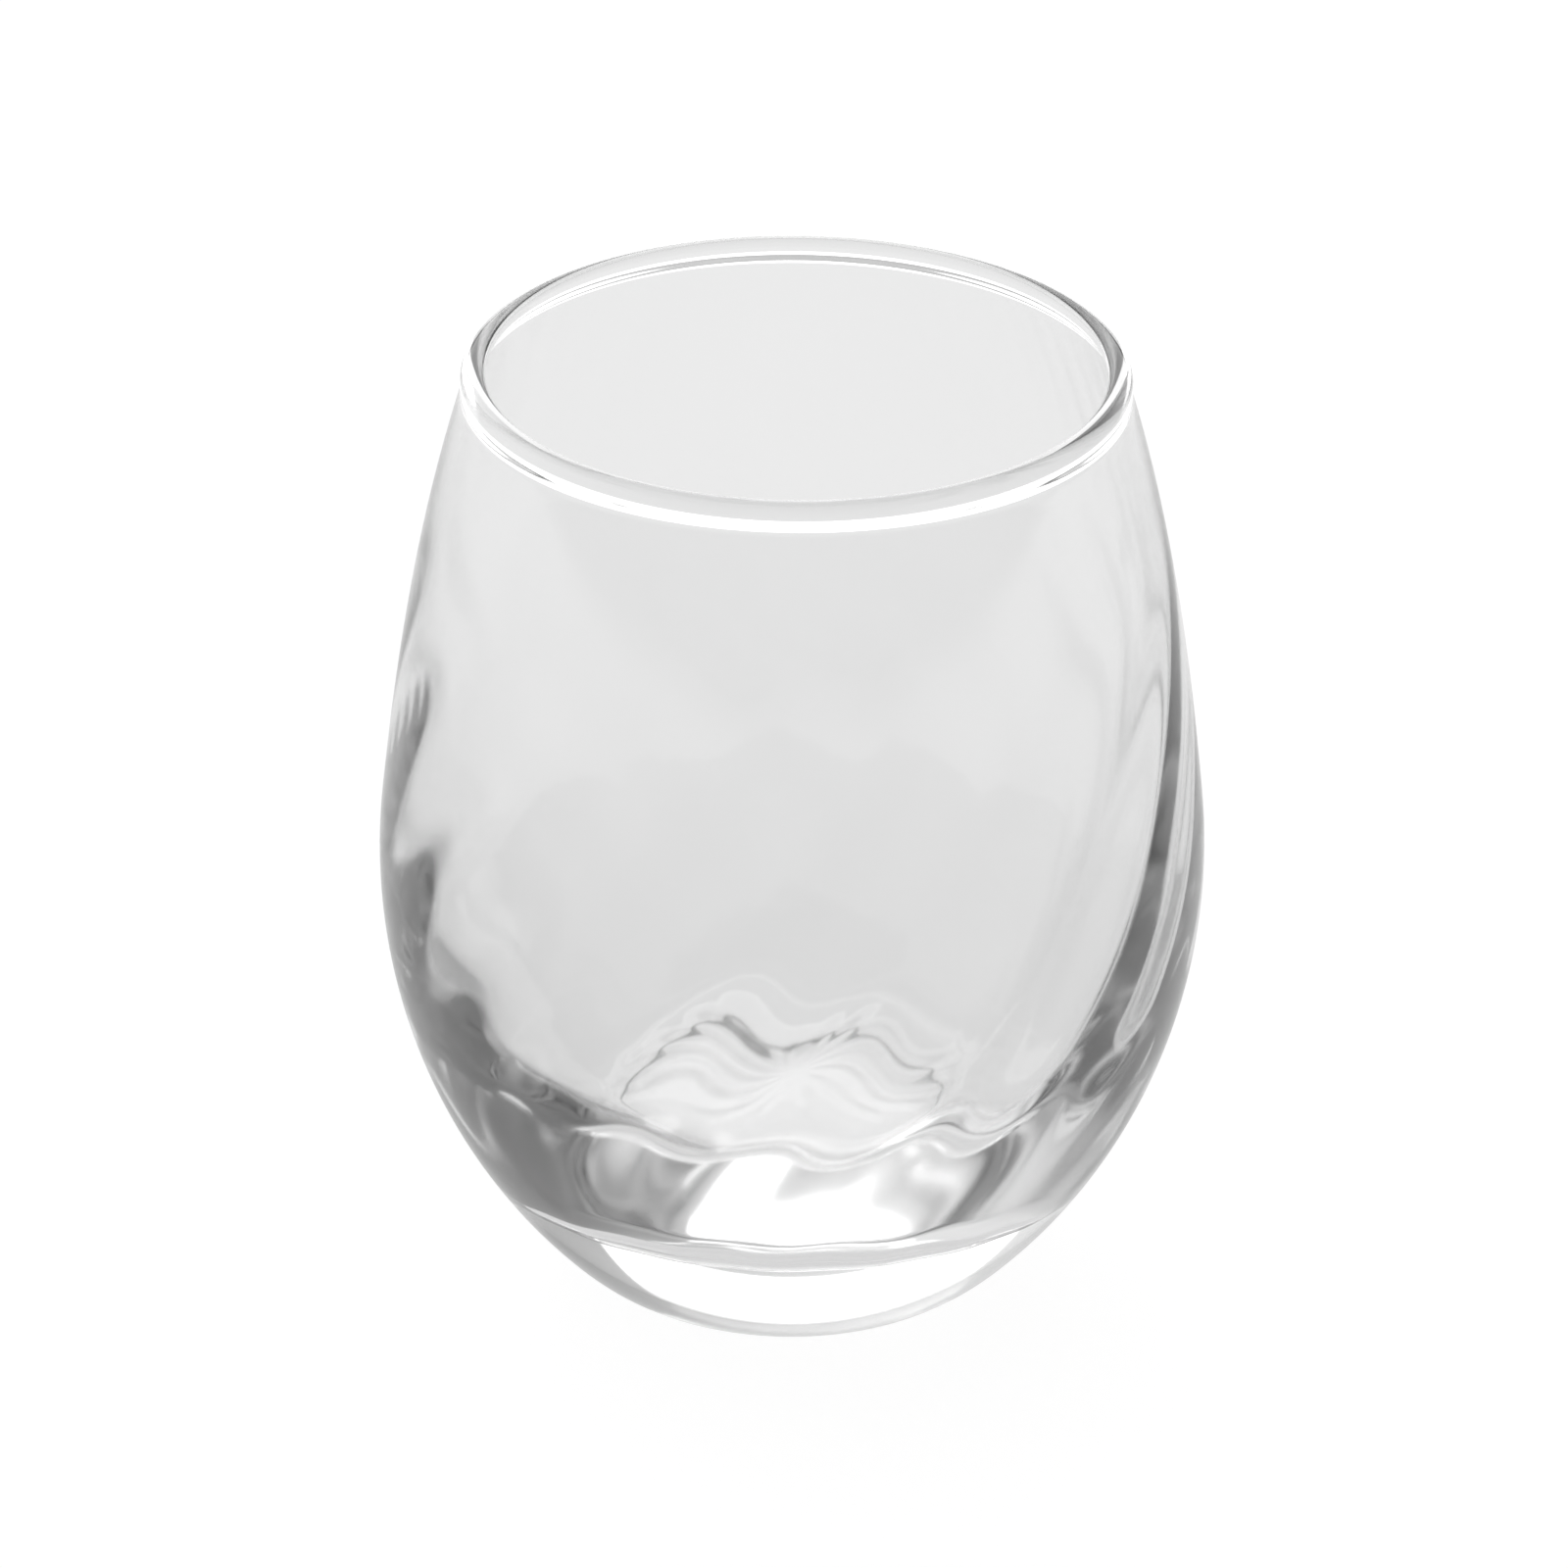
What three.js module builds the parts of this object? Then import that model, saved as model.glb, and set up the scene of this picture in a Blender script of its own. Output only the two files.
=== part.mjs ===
// Stemless water glass: an egg-shaped tumbler of clear glass with a heavy base, soft twisted
// flutes on the inside of its wall and a fire-polished rim.
// The real glass is one casting. It is built here as the zones that a glassmaker names, each
// a closed solid of its own that meets the next one face to face on a level ring.
// Millimetres, +Z up, origin at the middle of the ring that the glass stands on.

import * as THREE from 'three';

// Overall form
const HEIGHT = 104.7;
const WIDEST_DIAMETER = 88;
const WIDEST_HEIGHT = 48.3;
const SHOULDER_RISE = 7; // how far the round of the bowl runs on above the widest line
const RIM_DIAMETER = 69.7; // over the bead
const NECK_LEAN = 17.1; // degrees from upright, just under the bead

// Rim bead and lip
const LIP_THICKNESS = 1.3;
const LIP_HEIGHT = 11; // plain band between the flutes and the bead
const BEAD_THICKNESS = 2.5; // the rim where it is thickest
const BEAD_SWELL = 2.2; // height over which the lip thickens into the bead
const BEAD_CROWN = 1.2; // height of the rounded top above the thickest ring
const NECK_HEIGHT = 22; // from the shoulder up to the lip

// Foot and base
const BOWL_FOOT_DIAMETER = 44.5; // where the round of the bowl would meet the table
const FOOT_ROUNDING_RUN = 2.3; // how far the rounded foot edge pulls in from there
const FOOT_ROUNDING_RISE = 5;
const BEARING_WIDTH = 0.9; // the ring that touches the table
const HOLLOW_DEPTH = 0.8; // the underside inside that ring clears the table by this
const BASE_THICKNESS = 14.4; // from the hollow up to the edge of the cavity's floor

// Cavity
const FLOOR_DIAMETER = 44;
const FLOOR_DOME = 2.6; // the floor swells up this far at its middle
const FLOOR_EDGE_RISE = 33; // degrees above level where the wall leaves the floor
const FLOOR_EDGE_REACH = 8.25; // how far that rise carries before the wall turns up
const HEEL_RISE = 25.5; // the cavity's rounded bottom ends this far above the floor's edge
const HEEL_REACH = 9; // how far the wall's lean carries down into the rounded bottom
const HEEL_THICKNESS = 3.5; // wall at the top of the rounded bottom
const WALL_THICKENING = 2.6; // power of the depth below the rim with which the wall thickens

// Twisted flutes on the inner wall
const FLUTE_COUNT = 16;
const FLUTE_DEPTH = 0.34; // ridge to trough
const FLUTE_LEAD = 396; // height of one full turn, rising anticlockwise seen from above
const FLUTE_START = 6.2; // degrees from +X to a trough, carried down to the table
const FLUTE_FADE_TOP = 29.5; // flutes come up to full depth this far below the lip
const FLUTE_FULL_HEIGHT = 41.5; // below this height they begin to weaken
const FLUTE_WEAK_HEIGHT = 20; // and below this one they keep only a share of their depth
const FLUTE_HEEL_SHARE = 0.4;
const FLUTE_FADE_FLOOR = 6; // and die out over this height above the floor's edge

// Facets
const SEGMENTS_PER_FLUTE = 5;
const SEGMENTS = FLUTE_COUNT * SEGMENTS_PER_FLUTE;
const FOOT_STEPS = 2;
const BASE_STEPS = 5;
const DOME_STEPS = 3;
const HEEL_STEPS = 6;
const BOWL_STEPS = 3;
const SHOULDER_STEPS = 3;
const NECK_STEPS = 3;
const LIP_STEPS = 2;
const SWELL_STEPS = 2;
const CROWN_STEPS = 4;

// Radii and heights worked out from the sizes above
const WIDEST_RADIUS = WIDEST_DIAMETER / 2;
const SHOULDER_Z = WIDEST_HEIGHT + SHOULDER_RISE;
const BOWL_INSET = WIDEST_RADIUS - BOWL_FOOT_DIAMETER / 2;
const BOWL_ARC_RADIUS = (BOWL_INSET ** 2 + WIDEST_HEIGHT ** 2) / (2 * BOWL_INSET);
const NECK_SLOPE = -Math.tan(THREE.MathUtils.degToRad(NECK_LEAN));
const BEAD_Z = HEIGHT - BEAD_CROWN;
const BEAD_SEAT_Z = BEAD_Z - BEAD_SWELL;
const BEAD_SEAT_MIDDLE = (RIM_DIAMETER - BEAD_THICKNESS) / 2 - NECK_SLOPE * BEAD_SWELL;
const BEAD_SEAT_RADIUS = BEAD_SEAT_MIDDLE + LIP_THICKNESS / 2;
const LIP_Z = BEAD_SEAT_Z - LIP_HEIGHT;
const NECK_Z = LIP_Z - NECK_HEIGHT;
const FLOOR_Z = HOLLOW_DEPTH + BASE_THICKNESS;
const FLOOR_RADIUS = FLOOR_DIAMETER / 2;
const HEEL_Z = FLOOR_Z + HEEL_RISE;
const BEARING_RADIUS = BOWL_FOOT_DIAMETER / 2 - FOOT_ROUNDING_RUN;
const HOLLOW_RADIUS = BEARING_RADIUS - BEARING_WIDTH;

// The values from one end to another in equal steps, both ends included
function levels(from, to, steps) {
  return Array.from({ length: steps + 1 }, (_, i) => THREE.MathUtils.lerp(from, to, i / steps));
}

// The bowl is one arc that is upright at the widest line and heads for the foot
function bowlRadius(z) {
  const rise = z - WIDEST_HEIGHT;
  return WIDEST_RADIUS - BOWL_ARC_RADIUS + Math.sqrt(BOWL_ARC_RADIUS ** 2 - rise ** 2);
}

function bowlSlope(z) {
  const rise = z - WIDEST_HEIGHT;
  return -rise / Math.sqrt(BOWL_ARC_RADIUS ** 2 - rise ** 2);
}

// A cubic curve between two rings, with the change of radius per height given at each end.
// Its handles are a third of the height long, so that height runs evenly along the curve.
function easedCurve(lower, lowerSlope, upper, upperSlope) {
  const third = (upper.y - lower.y) / 3;
  return new THREE.CubicBezierCurve(
    lower,
    new THREE.Vector2(lower.x + lowerSlope * third, lower.y + third),
    new THREE.Vector2(upper.x - upperSlope * third, upper.y - third),
    upper,
  );
}

const wallCurve = easedCurve(
  new THREE.Vector2(bowlRadius(SHOULDER_Z), SHOULDER_Z),
  bowlSlope(SHOULDER_Z),
  new THREE.Vector2(BEAD_SEAT_RADIUS, BEAD_SEAT_Z),
  NECK_SLOPE,
);

// The rounded foot edge leaves the table level and joins the bowl's arc along its slope
const footTop = new THREE.Vector2(bowlRadius(FOOT_ROUNDING_RISE), FOOT_ROUNDING_RISE);
const footCurve = new THREE.QuadraticBezierCurve(
  new THREE.Vector2(BEARING_RADIUS, 0),
  new THREE.Vector2(footTop.x - bowlSlope(FOOT_ROUNDING_RISE) * FOOT_ROUNDING_RISE, 0),
  footTop,
);

// Radius of the outer face at any height
function outerRadius(z) {
  if (z < FOOT_ROUNDING_RISE) {
    return footCurve.getPoint(Math.sqrt(z / FOOT_ROUNDING_RISE)).x;
  }
  if (z < SHOULDER_Z) {
    return bowlRadius(z);
  }
  return wallCurve.getPoint((z - SHOULDER_Z) / (BEAD_SEAT_Z - SHOULDER_Z)).x;
}

// Radius of the inner face above the heel: the wall stays thin and thickens low down
function cavityRadius(z) {
  const depth = (BEAD_SEAT_Z - z) / (BEAD_SEAT_Z - HEEL_Z);
  const wall = THREE.MathUtils.lerp(LIP_THICKNESS, HEEL_THICKNESS, depth ** WALL_THICKENING);
  return outerRadius(z) - wall;
}

// The cavity's rounded bottom, from the top of the heel down to the edge of the floor
function heelCurve() {
  const step = HEEL_REACH / 2;
  const slope = (cavityRadius(HEEL_Z + step) - cavityRadius(HEEL_Z)) / step;
  const edgeRise = THREE.MathUtils.degToRad(FLOOR_EDGE_RISE);
  const top = new THREE.Vector2(cavityRadius(HEEL_Z), HEEL_Z);
  const edge = new THREE.Vector2(FLOOR_RADIUS, FLOOR_Z);
  const reach = new THREE.Vector2(Math.cos(edgeRise), Math.sin(edgeRise));
  return new THREE.CubicBezierCurve(
    top,
    new THREE.Vector2(top.x - slope * HEEL_REACH, top.y - HEEL_REACH),
    edge.clone().addScaledVector(reach, FLOOR_EDGE_REACH),
    edge,
  );
}

// Height of the domed floor at a radius
function floorHeight(radius) {
  return FLOOR_Z + FLOOR_DOME * (1 - (radius / FLOOR_RADIUS) ** 2);
}

// How far a flute moves the inner face outwards at an angle and a height
function fluteOffset(angle, z) {
  const top = THREE.MathUtils.smoothstep(LIP_Z - z, 0, FLUTE_FADE_TOP);
  const full = THREE.MathUtils.smoothstep(z, FLUTE_WEAK_HEIGHT, FLUTE_FULL_HEIGHT);
  const low = THREE.MathUtils.lerp(FLUTE_HEEL_SHARE, 1, full);
  const floor = THREE.MathUtils.smoothstep(z - FLOOR_Z, 0, FLUTE_FADE_FLOOR);
  const start = THREE.MathUtils.degToRad(FLUTE_START) + (z / FLUTE_LEAD) * 2 * Math.PI;
  return (FLUTE_DEPTH / 2) * top * low * floor * Math.cos(FLUTE_COUNT * (angle - start));
}

const outerPoints = (heights) => heights.map((z) => new THREE.Vector2(outerRadius(z), z));
const cavityPoints = (heights) => heights.map((z) => new THREE.Vector2(cavityRadius(z), z));

// Clear glass: each zone gets its own material, so that each can be set by itself
function clearGlass() {
  return new THREE.MeshStandardMaterial({
    color: 0xeef2f2,
    roughness: 0.04,
    metalness: 0,
    transparent: true,
    opacity: 0.35,
  });
}

// A solid of revolution about Z. The outline runs up the outer face and down the inner one;
// the points from innerStart to innerEnd lie on the inner face and follow the flutes.
function revolve(name, outline, innerStart = 0, innerEnd = 0) {
  const geometry = new THREE.LatheGeometry(outline, SEGMENTS);
  geometry.rotateX(Math.PI / 2);
  const position = geometry.attributes.position;
  for (let i = 0; i < position.count; i += 1) {
    const place = i % outline.length;
    if (place < innerStart || place >= innerEnd) continue;
    const point = new THREE.Vector3().fromBufferAttribute(position, i);
    const angle = Math.atan2(point.y, point.x);
    const radius = Math.hypot(point.x, point.y) + fluteOffset(angle, point.z);
    position.setXY(i, radius * Math.cos(angle), radius * Math.sin(angle));
  }
  const mesh = new THREE.Mesh(geometry, clearGlass());
  mesh.name = name;
  return mesh;
}

// A zone of the wall between two heights: an outer face, an inner face and a level ring at
// each end. The inner face follows the cavity unless its points are given, from the top down.
function wallZone(name, low, high, steps, inner = cavityPoints(levels(high, low, steps))) {
  const outer = outerPoints(levels(low, high, steps));
  return revolve(name, [...outer, ...inner, outer[0]], outer.length, outer.length + inner.length);
}

// The ring that stands on the table, around the shallow hollow under the base
function footRing() {
  const outline = outerPoints(levels(0, HOLLOW_DEPTH, FOOT_STEPS));
  outline.push(new THREE.Vector2(HOLLOW_RADIUS, HOLLOW_DEPTH));
  outline.push(new THREE.Vector2(HOLLOW_RADIUS, 0));
  outline.push(outline[0]);
  return revolve('foot_ring', outline);
}

// The heavy solid base, from the hollow up to the domed floor of the cavity
function heavyBase() {
  const floor = levels(FLOOR_RADIUS, 0, DOME_STEPS).map((r) => new THREE.Vector2(r, floorHeight(r)));
  const outline = outerPoints(levels(HOLLOW_DEPTH, FLOOR_Z, BASE_STEPS));
  outline.unshift(new THREE.Vector2(0, HOLLOW_DEPTH));
  outline.push(...floor);
  return revolve('heavy_base', outline);
}

// Half the thickness of the rim at a height: the lip swells up to the bead's thickest ring, and
// above that the bead rounds off to its top
function beadHalf(z) {
  const crown = (z - BEAD_Z) / BEAD_CROWN;
  if (crown > 0) return (BEAD_THICKNESS / 2) * Math.sqrt(1 - Math.min(crown, 1) ** 2);
  const swell = THREE.MathUtils.smoothstep(z, BEAD_SEAT_Z, BEAD_Z);
  return THREE.MathUtils.lerp(LIP_THICKNESS, BEAD_THICKNESS, swell) / 2;
}

// The fire-polished bead: it carries on the lip's lean and stands proud of both its faces
function rimBead() {
  const crown = levels(0, Math.PI / 2, CROWN_STEPS).map((turn) => BEAD_Z + BEAD_CROWN * Math.sin(turn));
  const heights = [...levels(BEAD_SEAT_Z, BEAD_Z, SWELL_STEPS), ...crown.slice(1)];
  const side = (sign) => heights.map((z) => new THREE.Vector2(
    BEAD_SEAT_MIDDLE + NECK_SLOPE * (z - BEAD_SEAT_Z) + sign * beadHalf(z),
    z,
  ));
  const outline = [...side(1), ...side(-1).reverse().slice(1)];
  outline.push(outline[0]);
  return revolve('rim_bead', outline);
}

const glass = new THREE.Group();
glass.add(
  footRing(),
  heavyBase(),
  wallZone('heel', FLOOR_Z, HEEL_Z, HEEL_STEPS, heelCurve().getPoints(HEEL_STEPS)),
  wallZone('bowl', HEEL_Z, WIDEST_HEIGHT, BOWL_STEPS),
  wallZone('shoulder', WIDEST_HEIGHT, NECK_Z, SHOULDER_STEPS),
  wallZone('neck', NECK_Z, LIP_Z, NECK_STEPS),
  wallZone('lip_band', LIP_Z, BEAD_SEAT_Z, LIP_STEPS),
  rimBead(),
);

export default glass;
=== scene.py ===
"""Stemless water glass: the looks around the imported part.

One continuous surface of clear glass stands for all the part's zones, because a seam inside
clear glass would show. Metres, +Z up, +Y away from the photograph's viewer.
"""

import math

import bpy
import numpy as np
from mathutils import Matrix, Vector


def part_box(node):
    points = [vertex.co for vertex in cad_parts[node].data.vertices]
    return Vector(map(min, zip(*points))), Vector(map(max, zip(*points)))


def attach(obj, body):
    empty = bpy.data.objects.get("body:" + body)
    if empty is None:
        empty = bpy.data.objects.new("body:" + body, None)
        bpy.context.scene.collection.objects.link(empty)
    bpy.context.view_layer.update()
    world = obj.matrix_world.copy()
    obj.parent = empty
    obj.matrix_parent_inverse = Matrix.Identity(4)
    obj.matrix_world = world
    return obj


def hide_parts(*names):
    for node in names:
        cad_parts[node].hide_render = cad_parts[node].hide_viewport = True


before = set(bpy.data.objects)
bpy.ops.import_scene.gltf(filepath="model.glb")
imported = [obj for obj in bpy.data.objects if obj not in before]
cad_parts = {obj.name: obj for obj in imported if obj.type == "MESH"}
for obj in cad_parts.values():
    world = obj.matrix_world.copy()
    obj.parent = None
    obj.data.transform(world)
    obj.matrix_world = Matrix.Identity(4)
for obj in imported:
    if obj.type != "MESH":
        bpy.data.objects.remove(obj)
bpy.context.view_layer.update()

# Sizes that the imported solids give
ZONES = sorted(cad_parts)
RIM_LOW, RIM_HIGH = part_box("rim_bead")
HEIGHT = RIM_HIGH.z
BEAD_SEAT_Z = RIM_LOW.z
LIP_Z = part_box("lip_band")[0].z
WIDEST_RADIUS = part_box("bowl")[1].x
WIDEST_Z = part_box("bowl")[1].z
HEEL_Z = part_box("bowl")[0].z
FLOOR_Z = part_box("heel")[0].z
DOME_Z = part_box("heavy_base")[1].z
HOLLOW_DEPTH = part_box("foot_ring")[1].z

# Outer form
SHOULDER_RISE = 0.007  # the round of the bowl runs on this far above the widest line
NECK_LEAN = math.radians(17.1)  # from upright, just under the bead
LIP_THICKNESS = 0.0013
RIM_RADIUS = 0.03485  # over the bead's thickest ring
BEAD_THICKNESS = 0.0025
BEAD_CROWN = 0.0012  # height of the rounded top above the thickest ring
BOWL_FOOT_RADIUS = 0.02225  # where the round of the bowl would meet the table
BEARING_RADIUS = 0.01995  # outer edge of the ring that touches the table
BEARING_WIDTH = 0.0009
HOLLOW_EDGE = 0.0007  # the hollow's edge eases down to the ring over this width
FOOT_ROUNDING_RISE = 0.005  # the rounded foot edge ends at this height

# Cavity
HEEL_THICKNESS = 0.0035  # wall at the top of the heel
WALL_THICKENING = 2.6  # power of the depth below the rim with which the wall thickens
HEEL_REACH = 0.009  # how far the wall's lean carries down into the heel
FLOOR_RADIUS = 0.022
FLOOR_EDGE_RISE = math.radians(33)  # above level, where the wall leaves the floor
FLOOR_EDGE_REACH = 0.00825  # how far that rise carries before the wall turns up
CORNER_SOFTNESS = 0.001  # how far the corner between wall and floor is rounded off
SOFTENING_SPAN = 3  # the rounding looks this many times that far each way

# Twisted flutes on the inner face
FLUTE_COUNT = 16
FLUTE_DEPTH = 0.00034  # ridge to trough
FLUTE_LEAD = 0.396  # height of one full turn, rising anticlockwise seen from above
FLUTE_START = math.radians(6.2)  # from +X to a trough, carried down to the table
FLUTE_FADE_TOP = 0.0295  # they come up to full depth this far below the lip
FLUTE_WEAK_Z = 0.020  # below this height they keep only a share of their depth
FLUTE_FULL_Z = 0.0415  # and above this one they have all of it
FLUTE_HEEL_SHARE = 0.4
FLUTE_FLOOR_SHARE = 1.1  # and on the floor they have this share of the depth at the heel
FLUTE_FLOOR_START = 0.004  # which begins this far outside the floor's edge
FLUTE_FLOOR_RUN = 0.006  # and is reached over this width
FLUTE_FLOOR_FADE = 0.011  # they die out within this radius

# Mesh
SEGMENTS_PER_FLUTE = 20
SEGMENTS = SEGMENTS_PER_FLUTE * FLUTE_COUNT
UNDER_STEPS = 7
EASE_STEPS = 10
FOOT_STEPS = 14
OUTER_STEPS = 36  # in the bowl, and again from the shoulder up
BEAD_STEPS = 14  # in the swell, and again in the crown
INNER_STEPS = 200  # after spacing the points of the inner face evenly
WALL_STEPS = 79
HEEL_STEPS = 60
FLOOR_STEPS = 39

# Camera, from the photograph's frame of 1600 by 1600 pixels
IMAGE_PIXELS = 1600
CAMERA_DISTANCE = 0.836
CAMERA_ELEVATION = math.radians(27.3)
CAMERA_ROLL = math.radians(0.56)
CAMERA_TARGET_Z = 0.0555
PIXELS_PER_METRE = 9589  # at the target's distance
TARGET_PIXEL = (808.8, 802.5)
SENSOR_WIDTH = 36
CLIP_START = 0.01

# Clear glass
GLASS_IOR = 1.52
GLASS_TINT_CLEAR = (1.0, 1.0, 1.0, 1)
GLASS_TINT_DENSE = (0.997, 0.998, 0.998, 1)
GLASS_SMOOTHEST = 0.04  # roughness where the polish is best, and where it is worst
GLASS_ROUGHEST = 0.065
HAZE_SCALE = 45  # per metre
WAVE_SCALE = 70  # per metre
WAVE_HEIGHT = 0.00001
LIGHT_BOUNCES = 28  # light runs a long way inside the wall; the rest of it is taken as lost

# Table
TABLE_HALF = 4.0
TABLE_DROP = 0.00002  # keeps the table just clear of the ring that stands on it
TABLE_WHITE = 0.95  # as the camera sees it, with the lit share on top
TABLE_LIT = (0.15, 0.15, 0.15, 1)  # the share that takes light and shadow
TABLE_PAINTED_SHADOW_NEAR = 0.635  # as it shows in the glass: near the glass, darker with a painted shadow, and far behind it
TABLE_FAR = 0.76
TABLE_FAR_Y = 0.17  # where it is as light as far behind
TABLE_PAINTED_SHADE_FRONT = 0.15  # painted shade: share of that which is left far in front
TABLE_FRONT_Y = -1.5
TABLE_FRONT_END_Y = -0.15  # where the painted shade in front ends
TABLE_PAINTED_LIGHT_POOL = 0.11  # a painted pool of light on the table under the base
TABLE_PAINTED_POOL_RADIUS = 0.0115
TABLE_PAINTED_POOL_SPREAD = 1.5  # it fades out at this many times that radius

# Lamps behind the glass: a low strip and a soft box over it
LAMP_X = -0.07
LAMP_Y = 0.55
LAMP_WIDTH = 0.7
STRIP_Z = 0.05
STRIP_HEIGHT = 0.1
STRIP_RADIANCE = 1.09
BOX_Z = 0.35
BOX_HEIGHT = 0.38
BOX_RADIANCE = 1.04

# Room: a wide soft light from behind and above on the left, and a dim front
ROOM_LIGHT_AZIMUTH = math.radians(122)  # from +X towards +Y
ROOM_LIGHT_ELEVATION = math.radians(42)
ROOM_DIM = 0.1
ROOM_BRIGHT = 1.0
ROOM_DIM_AT = -0.185  # cosine of the angle from the light where the dim part begins
ROOM_BRIGHT_AT = 1.22  # past 1, so that the brightest part is never quite reached
ROOM_FALLOFF = 1.45


def smoothstep(value, low, high):
    t = np.clip((value - low) / (high - low), 0, 1)
    return t * t * (3 - 2 * t)


def bezier(points, t):
    """Points of a quadratic or cubic curve, for an array of values from 0 to 1."""
    rest = [np.asarray(point, float) for point in points]
    t = np.asarray(t, float)[:, None]
    while len(rest) > 1:
        rest = [a * (1 - t) + b * t for a, b in zip(rest, rest[1:])]
    return rest[0]


# Outer face
SHOULDER_Z = WIDEST_Z + SHOULDER_RISE
NECK_SLOPE = -math.tan(NECK_LEAN)
BOWL_INSET = WIDEST_RADIUS - BOWL_FOOT_RADIUS
BOWL_ARC_RADIUS = (BOWL_INSET**2 + WIDEST_Z**2) / (2 * BOWL_INSET)
BEAD_Z = HEIGHT - BEAD_CROWN
BEAD_SEAT_MIDDLE = RIM_RADIUS - BEAD_THICKNESS / 2 - NECK_SLOPE * (BEAD_Z - BEAD_SEAT_Z)
BEAD_SEAT_RADIUS = BEAD_SEAT_MIDDLE + LIP_THICKNESS / 2


def bowl_radius(z):
    """The bowl is one arc that is upright at the widest line."""
    return WIDEST_RADIUS - BOWL_ARC_RADIUS + np.sqrt(BOWL_ARC_RADIUS**2 - (z - WIDEST_Z) ** 2)


def bowl_slope(z):
    return (WIDEST_Z - z) / math.sqrt(BOWL_ARC_RADIUS**2 - (z - WIDEST_Z) ** 2)


def foot_curve(steps):
    """The rounded foot edge leaves the table level and joins the bowl along its slope."""
    top = (bowl_radius(FOOT_ROUNDING_RISE), FOOT_ROUNDING_RISE)
    corner = (top[0] - bowl_slope(FOOT_ROUNDING_RISE) * FOOT_ROUNDING_RISE, 0)
    return bezier([(BEARING_RADIUS, 0), corner, top], np.linspace(0, 1, steps + 1))


def upper_radius(z):
    """From the shoulder to the bead: a cubic curve along which height runs evenly."""
    rise = BEAD_SEAT_Z - SHOULDER_Z
    start = bowl_radius(SHOULDER_Z)
    radii = [
        (start,),
        (start + bowl_slope(SHOULDER_Z) * rise / 3,),
        (BEAD_SEAT_RADIUS - NECK_SLOPE * rise / 3,),
        (BEAD_SEAT_RADIUS,),
    ]
    return bezier(radii, (z - SHOULDER_Z) / rise)[:, 0]


def outer_radius(z):
    """Radius of the outer face above the foot, for an array of heights."""
    z = np.atleast_1d(z)
    return np.where(z < SHOULDER_Z, bowl_radius(np.minimum(z, SHOULDER_Z)), upper_radius(z))


def outer_outline():
    """From the axis under the base, out over the bearing ring and up to the bead's seat."""
    hollow_radius = BEARING_RADIUS - BEARING_WIDTH
    under_r = np.linspace(0, hollow_radius - HOLLOW_EDGE, UNDER_STEPS + 1)
    under = [(r, HOLLOW_DEPTH) for r in under_r]
    share = np.linspace(0, 1, EASE_STEPS + 1)[1:]
    ease_r = hollow_radius - HOLLOW_EDGE * (1 - share)
    ease_z = HOLLOW_DEPTH * (1 - smoothstep(share, 0, 1))
    bowl_z = np.linspace(FOOT_ROUNDING_RISE, SHOULDER_Z, OUTER_STEPS + 1)[1:]
    upper_z = np.linspace(SHOULDER_Z, BEAD_SEAT_Z, OUTER_STEPS + 1)[1:]
    wall_z = np.concatenate([bowl_z, upper_z])
    wall = np.stack([outer_radius(wall_z), wall_z], 1)
    ease = np.stack([ease_r, ease_z], 1)
    return np.concatenate([under, ease, foot_curve(FOOT_STEPS), wall])


def bead_half(z):
    """Half the rim's thickness: the lip swells into the bead, which rounds off to its top."""
    swell = smoothstep(z, BEAD_SEAT_Z, BEAD_Z)
    crown = np.clip((z - BEAD_Z) / BEAD_CROWN, 0, 1)
    thickness = LIP_THICKNESS + (BEAD_THICKNESS - LIP_THICKNESS) * swell
    return thickness / 2 * np.sqrt(1 - crown**2)


def bead_outline(steps):
    """Over the fire-polished bead, from its outer seat to its inner one."""
    turn = np.linspace(0, math.pi / 2, steps + 1)[1:]
    swell = np.linspace(BEAD_SEAT_Z, BEAD_Z, steps + 1)
    z = np.concatenate([swell, BEAD_Z + BEAD_CROWN * np.sin(turn)])
    middle = BEAD_SEAT_MIDDLE + NECK_SLOPE * (z - BEAD_SEAT_Z)
    outer = np.stack([middle + bead_half(z), z], 1)
    inner = np.stack([middle - bead_half(z), z], 1)
    return np.concatenate([outer[1:], inner[-2::-1]])


# Inner face
def cavity_radius(z):
    """The wall stays thin and thickens low down."""
    depth = (BEAD_SEAT_Z - z) / (BEAD_SEAT_Z - HEEL_Z)
    growth = (HEEL_THICKNESS - LIP_THICKNESS) * np.clip(depth, 0, None) ** WALL_THICKENING
    return outer_radius(z) - LIP_THICKNESS - growth


def heel_curve(steps):
    """The cavity's rounded bottom, from the top of the heel down to the floor's edge."""
    step = HEEL_REACH / 2
    top = cavity_radius(HEEL_Z)[0]
    slope = (cavity_radius(HEEL_Z + step)[0] - top) / step
    reach = (
        FLOOR_RADIUS + math.cos(FLOOR_EDGE_RISE) * FLOOR_EDGE_REACH,
        FLOOR_Z + math.sin(FLOOR_EDGE_RISE) * FLOOR_EDGE_REACH,
    )
    points = [
        (top, HEEL_Z),
        (top - slope * HEEL_REACH, HEEL_Z - HEEL_REACH),
        reach,
        (FLOOR_RADIUS, FLOOR_Z),
    ]
    return bezier(points, np.linspace(0, 1, steps + 1))[1:]


def evenly_spaced(outline, count):
    length = np.concatenate([[0], np.cumsum(np.hypot(*np.diff(outline, axis=0).T))])
    at = np.linspace(0, length[-1], count + 1)
    return np.stack([np.interp(at, length, outline[:, axis]) for axis in (0, 1)], 1)


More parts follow.
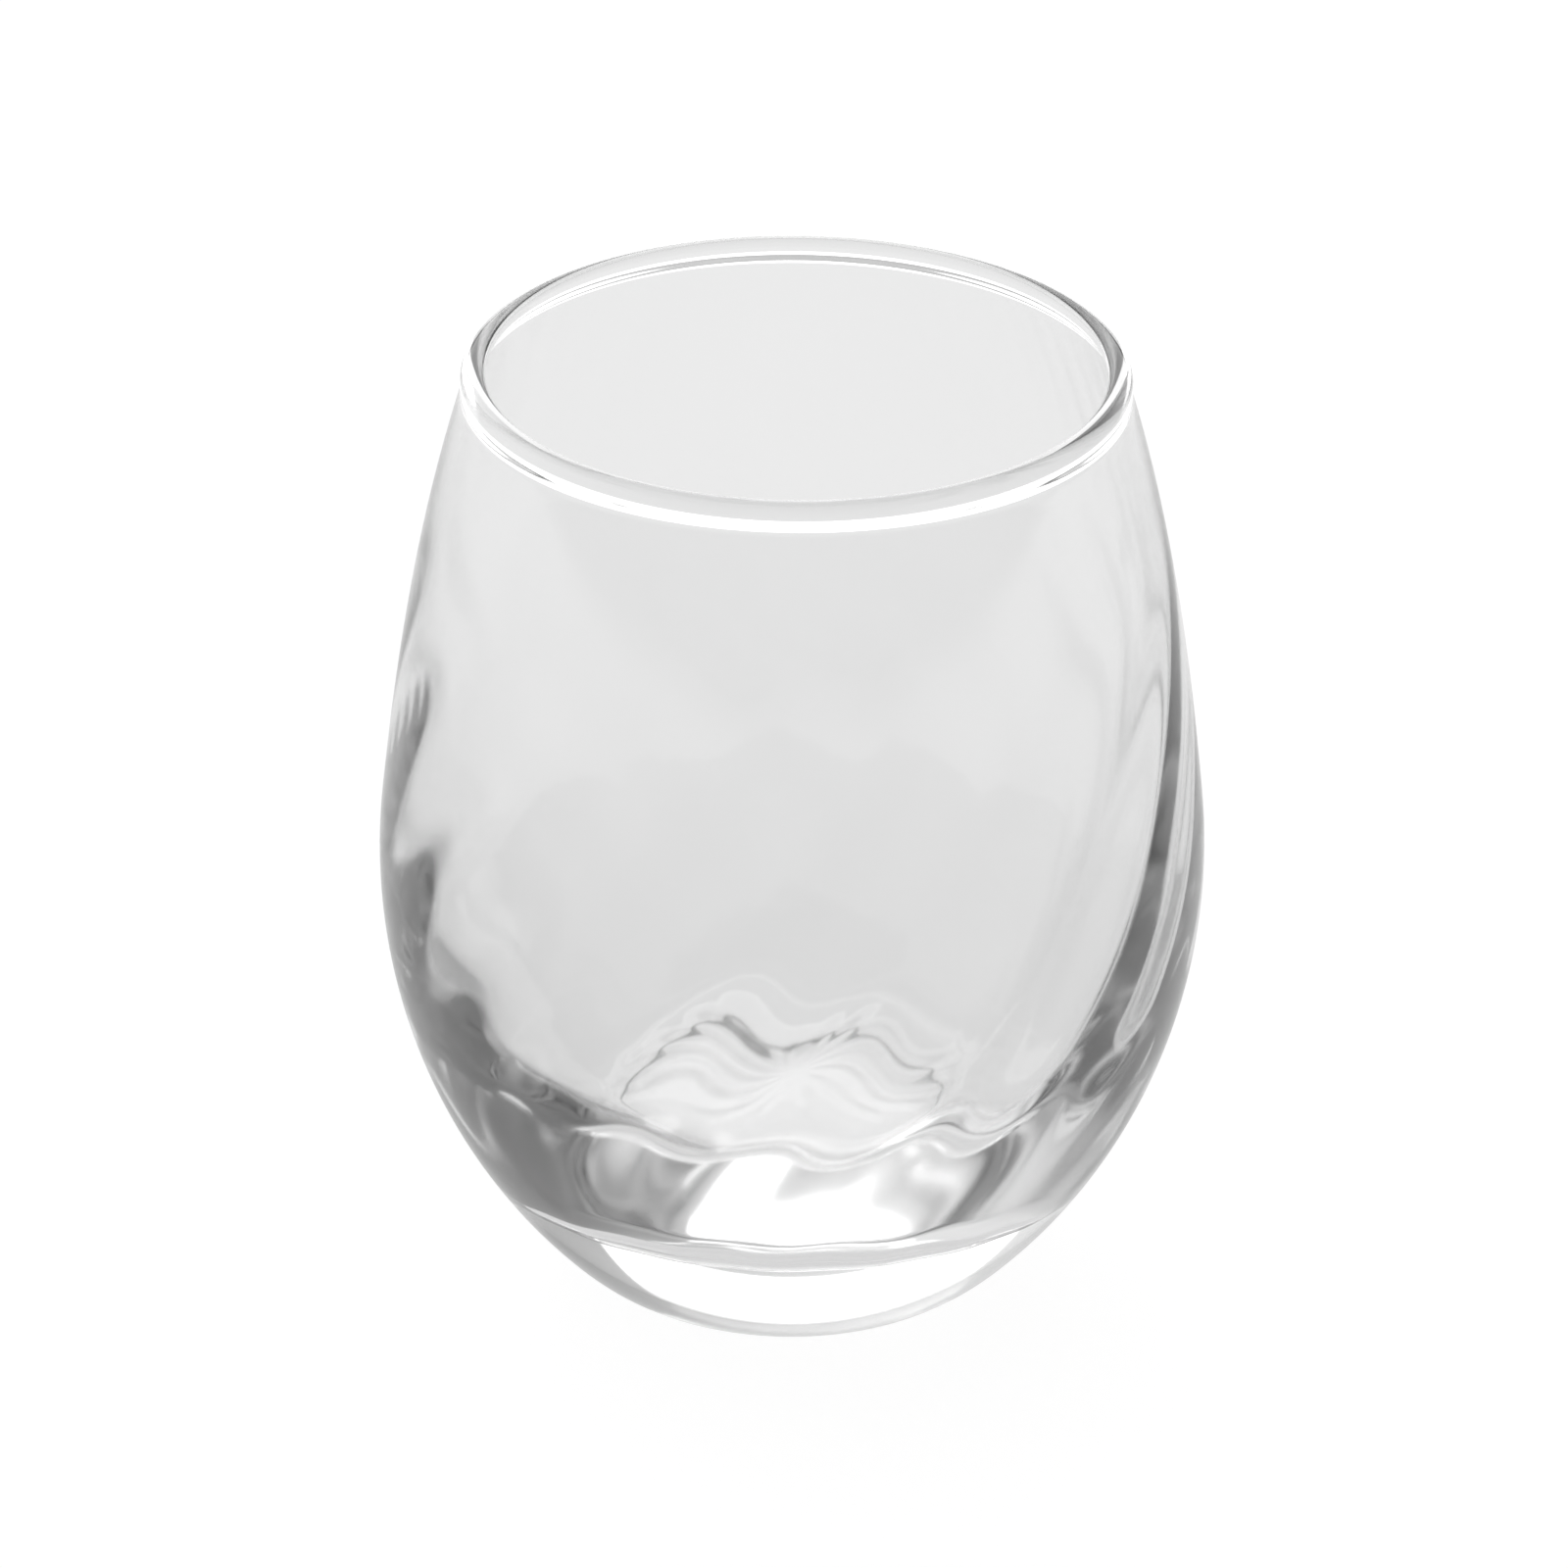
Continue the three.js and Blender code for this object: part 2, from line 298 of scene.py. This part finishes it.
def softened(outline, reach):
    """Rounds the corners of an evenly spaced outline that ends on the axis."""
    spacing = math.hypot(*(outline[1] - outline[0]))
    span = max(2, int(SOFTENING_SPAN * reach / spacing))
    weights = np.exp(-0.5 * (np.arange(-span, span + 1) * spacing / reach) ** 2)
    weights /= weights.sum()
    before = 2 * outline[0] - outline[span:0:-1]
    beyond = outline[-2 : -span - 2 : -1] * (-1, 1)
    long = np.concatenate([before, outline, beyond])
    return np.stack([np.convolve(long[:, axis], weights, "valid") for axis in (0, 1)], 1)


def inner_outline():
    """From the bead's inner seat down the wall and over the domed floor to the axis."""
    wall_z = np.linspace(BEAD_SEAT_Z, HEEL_Z, WALL_STEPS + 1)
    wall = np.stack([cavity_radius(wall_z), wall_z], 1)
    floor_r = np.linspace(FLOOR_RADIUS, 0, FLOOR_STEPS + 1)[1:]
    dome = FLOOR_Z + (DOME_Z - FLOOR_Z) * (1 - (floor_r / FLOOR_RADIUS) ** 2)
    floor = np.stack([floor_r, dome], 1)
    outline = np.concatenate([wall, heel_curve(HEEL_STEPS), floor])
    outline = softened(evenly_spaced(outline, INNER_STEPS), CORNER_SOFTNESS)
    outline[-1, 0] = 0
    return outline[1:]


def flute_share(radius, z):
    """How much of the flutes' depth is there at a point of the inner outline."""
    top = smoothstep(LIP_Z - z, 0, FLUTE_FADE_TOP)
    heel = 1 - (1 - FLUTE_HEEL_SHARE) * smoothstep(-z, -FLUTE_FULL_Z, -FLUTE_WEAK_Z)
    on_floor = smoothstep(FLOOR_RADIUS + FLUTE_FLOOR_START - radius, 0, FLUTE_FLOOR_RUN)
    floor = 1 - (1 - FLUTE_FLOOR_SHARE) * on_floor
    return top * heel * floor * smoothstep(radius, 0, FLUTE_FLOOR_FADE)


def fluted(outline, angles):
    """The inner outline swept round the axis, with the flutes pressed into it along its normal."""
    along = np.gradient(outline, axis=0)
    along /= np.linalg.norm(along, axis=1)[:, None]
    radius, z = outline[:, :1], outline[:, 1:]
    twist = FLUTE_START + 2 * math.pi * z / FLUTE_LEAD
    wave = np.cos(FLUTE_COUNT * (angles[None, :] - twist))
    depth = FLUTE_DEPTH / 2 * flute_share(radius, z) * wave
    return swept(radius - along[:, 1:] * depth, z + along[:, :1] * depth, angles)


def swept(radius, z, angles):
    z = np.broadcast_to(z, np.broadcast_shapes(np.shape(z), (1, len(angles))))
    return np.stack([radius * np.cos(angles), radius * np.sin(angles), z], 2)


def glass_mesh():
    angles = np.arange(SEGMENTS) * 2 * math.pi / SEGMENTS
    outer = np.concatenate([outer_outline(), bead_outline(BEAD_STEPS)])[1:]
    inner = inner_outline()
    rings = np.concatenate([
        swept(outer[:, :1], outer[:, 1:], angles),
        fluted(inner, angles)[:-1],
    ])
    points = np.concatenate([rings.reshape(-1, 3), [(0, 0, HOLLOW_DEPTH), (0, 0, inner[-1, 1])]])
    under_axis = len(points) - 2
    floor_axis = len(points) - 1
    index = np.arange(len(rings) * SEGMENTS).reshape(len(rings), SEGMENTS)
    onward = np.roll(index, -1, axis=1)
    quads = np.stack([index[:-1], onward[:-1], onward[1:], index[1:]], 2).reshape(-1, 4)
    faces = quads.tolist()
    faces += [(under_axis, int(b), int(a)) for a, b in zip(index[0], onward[0])]
    faces += [(floor_axis, int(a), int(b)) for a, b in zip(index[-1], onward[-1])]
    mesh = bpy.data.meshes.new("glass")
    mesh.from_pydata(points.tolist(), [], faces)
    mesh.polygons.foreach_set("use_smooth", [True] * len(mesh.polygons))
    mesh.update()
    return mesh


# Glass
def glass_material():
    """Clear fire-polished glass: a faint handling haze and the slight waviness of pressed glass."""
    material = bpy.data.materials.new("clear_glass")
    material.use_nodes = True
    nodes = material.node_tree.nodes
    link = material.node_tree.links.new
    shader = nodes["Principled BSDF"]
    shader.inputs["IOR"].default_value = GLASS_IOR
    shader.inputs["Transmission Weight"].default_value = 1
    place = nodes.new("ShaderNodeTexCoord")
    haze = nodes.new("ShaderNodeTexNoise")
    haze.inputs["Scale"].default_value = HAZE_SCALE
    haze.inputs["Detail"].default_value = 0
    link(place.outputs["Object"], haze.inputs["Vector"])
    roughness = nodes.new("ShaderNodeMapRange")
    roughness.inputs["To Min"].default_value = GLASS_SMOOTHEST
    roughness.inputs["To Max"].default_value = GLASS_ROUGHEST
    link(haze.outputs["Fac"], roughness.inputs["Value"])
    link(roughness.outputs["Result"], shader.inputs["Roughness"])
    tint = nodes.new("ShaderNodeMix")
    tint.data_type = "RGBA"
    tint.inputs["A"].default_value = GLASS_TINT_CLEAR
    tint.inputs["B"].default_value = GLASS_TINT_DENSE
    link(haze.outputs["Fac"], tint.inputs["Factor"])
    link(tint.outputs["Result"], shader.inputs["Base Color"])
    wave = nodes.new("ShaderNodeTexNoise")
    wave.inputs["Scale"].default_value = WAVE_SCALE
    wave.inputs["Detail"].default_value = 0
    link(place.outputs["Object"], wave.inputs["Vector"])
    bump = nodes.new("ShaderNodeBump")
    bump.inputs["Distance"].default_value = WAVE_HEIGHT
    link(wave.outputs["Fac"], bump.inputs["Height"])
    link(bump.outputs["Normal"], shader.inputs["Normal"])
    return material


glass = bpy.data.objects.new("glass", glass_mesh())
glass.data.materials.append(glass_material())
bpy.context.scene.collection.objects.link(glass)
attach(glass, "root")
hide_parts(*ZONES)


# Stage
def card(name, corners, material):
    mesh = bpy.data.meshes.new(name)
    mesh.from_pydata([tuple(corner) for corner in corners], [], [(0, 1, 2, 3)])
    mesh.materials.append(material)
    piece = bpy.data.objects.new(name, mesh)
    bpy.context.scene.collection.objects.link(piece)


def mapped(tree, value, low, high, start, end):
    """A smooth change of a value from start to end, as the input goes from low to high."""
    change = tree.nodes.new("ShaderNodeMapRange")
    change.interpolation_type = "SMOOTHSTEP"
    for name, number in (("From Min", low), ("From Max", high), ("To Min", start), ("To Max", end)):
        change.inputs[name].default_value = number
    tree.links.new(value, change.inputs["Value"])
    return change.outputs["Result"]


def maths(tree, operation, *values):
    """The result of a sum or product of sockets and numbers."""
    node = tree.nodes.new("ShaderNodeMath")
    node.operation = operation
    for socket, value in zip(node.inputs, values):
        if isinstance(value, (int, float)):
            socket.default_value = value
        else:
            tree.links.new(value, socket)
    return node.outputs["Value"]


def table_material():
    """A white table that is partly lit, so that it keeps the shadow, and partly white itself.

    It shows darker through the glass than beside it, with a painted shadow near the glass, painted
    shade far in front, and a painted pool of light under the base.
    """
    material = bpy.data.materials.new("white_table")
    material.use_nodes = True
    tree = material.node_tree
    tree.nodes.clear()
    place = tree.nodes.new("ShaderNodeNewGeometry").outputs["Position"]
    axes = tree.nodes.new("ShaderNodeSeparateXYZ")
    tree.links.new(place, axes.inputs["Vector"])
    reach = tree.nodes.new("ShaderNodeVectorMath")
    reach.operation = "LENGTH"
    tree.links.new(place, reach.inputs[0])
    depth = axes.outputs["Y"]
    # painted shadow: the table shows darker in the glass near it and in front of it
    painted_shadow_behind = mapped(tree, depth, 0, TABLE_FAR_Y, TABLE_PAINTED_SHADOW_NEAR, TABLE_FAR)
    # painted shade: the table dims far in front, as seen in the glass
    painted_shade_front = mapped(tree, depth, TABLE_FRONT_Y, TABLE_FRONT_END_Y, TABLE_PAINTED_SHADE_FRONT, 1)
    edge = TABLE_PAINTED_POOL_RADIUS
    fade = edge * TABLE_PAINTED_POOL_SPREAD
    # painted pool of light on the table under the base, as seen in the glass
    painted_light_pool = mapped(tree, reach.outputs["Value"], edge, fade, TABLE_PAINTED_LIGHT_POOL, 0)
    in_glass = maths(tree, "MULTIPLY_ADD", painted_shadow_behind, painted_shade_front, painted_light_pool)
    path = tree.nodes.new("ShaderNodeLightPath").outputs
    through = maths(tree, "MAXIMUM", path["Is Glossy Ray"], path["Is Transmission Ray"])
    strength = maths(tree, "MULTIPLY", through, in_glass)
    strength = maths(tree, "MULTIPLY_ADD", path["Is Camera Ray"], TABLE_WHITE, strength)
    glow = tree.nodes.new("ShaderNodeEmission")
    tree.links.new(strength, glow.inputs["Strength"])
    lit = tree.nodes.new("ShaderNodeBsdfDiffuse")
    lit.inputs["Color"].default_value = TABLE_LIT
    both = tree.nodes.new("ShaderNodeAddShader")
    tree.links.new(glow.outputs["Emission"], both.inputs[0])
    tree.links.new(lit.outputs["BSDF"], both.inputs[1])
    output = tree.nodes.new("ShaderNodeOutputMaterial")
    tree.links.new(both.outputs["Shader"], output.inputs["Surface"])
    return material


CORNERS = ((-1, -1), (1, -1), (1, 1), (-1, 1))
card(
    "table",
    [(x * TABLE_HALF, y * TABLE_HALF, -TABLE_DROP) for x, y in CORNERS],
    table_material(),
)


# Lamps
def softbox(name, z, height, radiance):
    """An area lamp that faces the glass and whose face has the given brightness; 1 is white."""
    lamp = bpy.data.lights.new(name, "AREA")
    lamp.shape = "RECTANGLE"
    lamp.size = LAMP_WIDTH
    lamp.size_y = height
    lamp.energy = radiance * math.pi * LAMP_WIDTH * height
    piece = bpy.data.objects.new(name, lamp)
    piece.location = (LAMP_X, LAMP_Y, z)
    piece.rotation_euler = Vector((0, -LAMP_Y, 0)).to_track_quat("-Z", "Y").to_euler()
    piece.visible_camera = False
    bpy.context.scene.collection.objects.link(piece)


softbox("back_strip", STRIP_Z, STRIP_HEIGHT, STRIP_RADIANCE)
softbox("back_light", BOX_Z, BOX_HEIGHT, BOX_RADIANCE)


# Room
def room():
    world = bpy.data.worlds.new("room")
    world.use_nodes = True
    tree = world.node_tree
    towards = tree.nodes.new("ShaderNodeVectorMath")
    towards.operation = "DOT_PRODUCT"
    level = math.cos(ROOM_LIGHT_ELEVATION)
    towards.inputs[1].default_value = (
        level * math.cos(ROOM_LIGHT_AZIMUTH),
        level * math.sin(ROOM_LIGHT_AZIMUTH),
        math.sin(ROOM_LIGHT_ELEVATION),
    )
    direction = tree.nodes.new("ShaderNodeTexCoord").outputs["Generated"]
    tree.links.new(direction, towards.inputs[0])
    glow = mapped(tree, towards.outputs["Value"], ROOM_DIM_AT, ROOM_BRIGHT_AT, 0, 1)
    glow = maths(tree, "POWER", glow, ROOM_FALLOFF)
    strength = maths(tree, "MULTIPLY_ADD", glow, ROOM_BRIGHT - ROOM_DIM, ROOM_DIM)
    background = tree.nodes["Background"]
    background.inputs["Color"].default_value = (1, 1, 1, 1)
    tree.links.new(strength, background.inputs["Strength"])
    return world


bpy.context.scene.world = room()


# Camera
def photograph_camera():
    lens = bpy.data.cameras.new("camera")
    lens.sensor_width = SENSOR_WIDTH
    lens.lens = PIXELS_PER_METRE * CAMERA_DISTANCE / IMAGE_PIXELS * SENSOR_WIDTH
    lens.shift_x = (IMAGE_PIXELS / 2 - TARGET_PIXEL[0]) / IMAGE_PIXELS
    lens.shift_y = (TARGET_PIXEL[1] - IMAGE_PIXELS / 2) / IMAGE_PIXELS
    lens.clip_start = CLIP_START
    target = Vector((0, 0, CAMERA_TARGET_Z))
    back = Vector((0, -math.cos(CAMERA_ELEVATION), math.sin(CAMERA_ELEVATION)))
    right = Vector((1, 0, 0))
    turn = Matrix((right, back.cross(right), back)).transposed().to_4x4()
    camera = bpy.data.objects.new("camera", lens)
    camera.matrix_world = (
        Matrix.Translation(target + back * CAMERA_DISTANCE)
        @ turn
        @ Matrix.Rotation(CAMERA_ROLL, 4, "Z")
    )
    bpy.context.scene.collection.objects.link(camera)
    return camera


scene = bpy.context.scene
scene.camera = photograph_camera()
scene.view_settings.view_transform = "Standard"
scene.cycles.max_bounces = LIGHT_BOUNCES
scene.cycles.transmission_bounces = LIGHT_BOUNCES
scene.cycles.glossy_bounces = LIGHT_BOUNCES
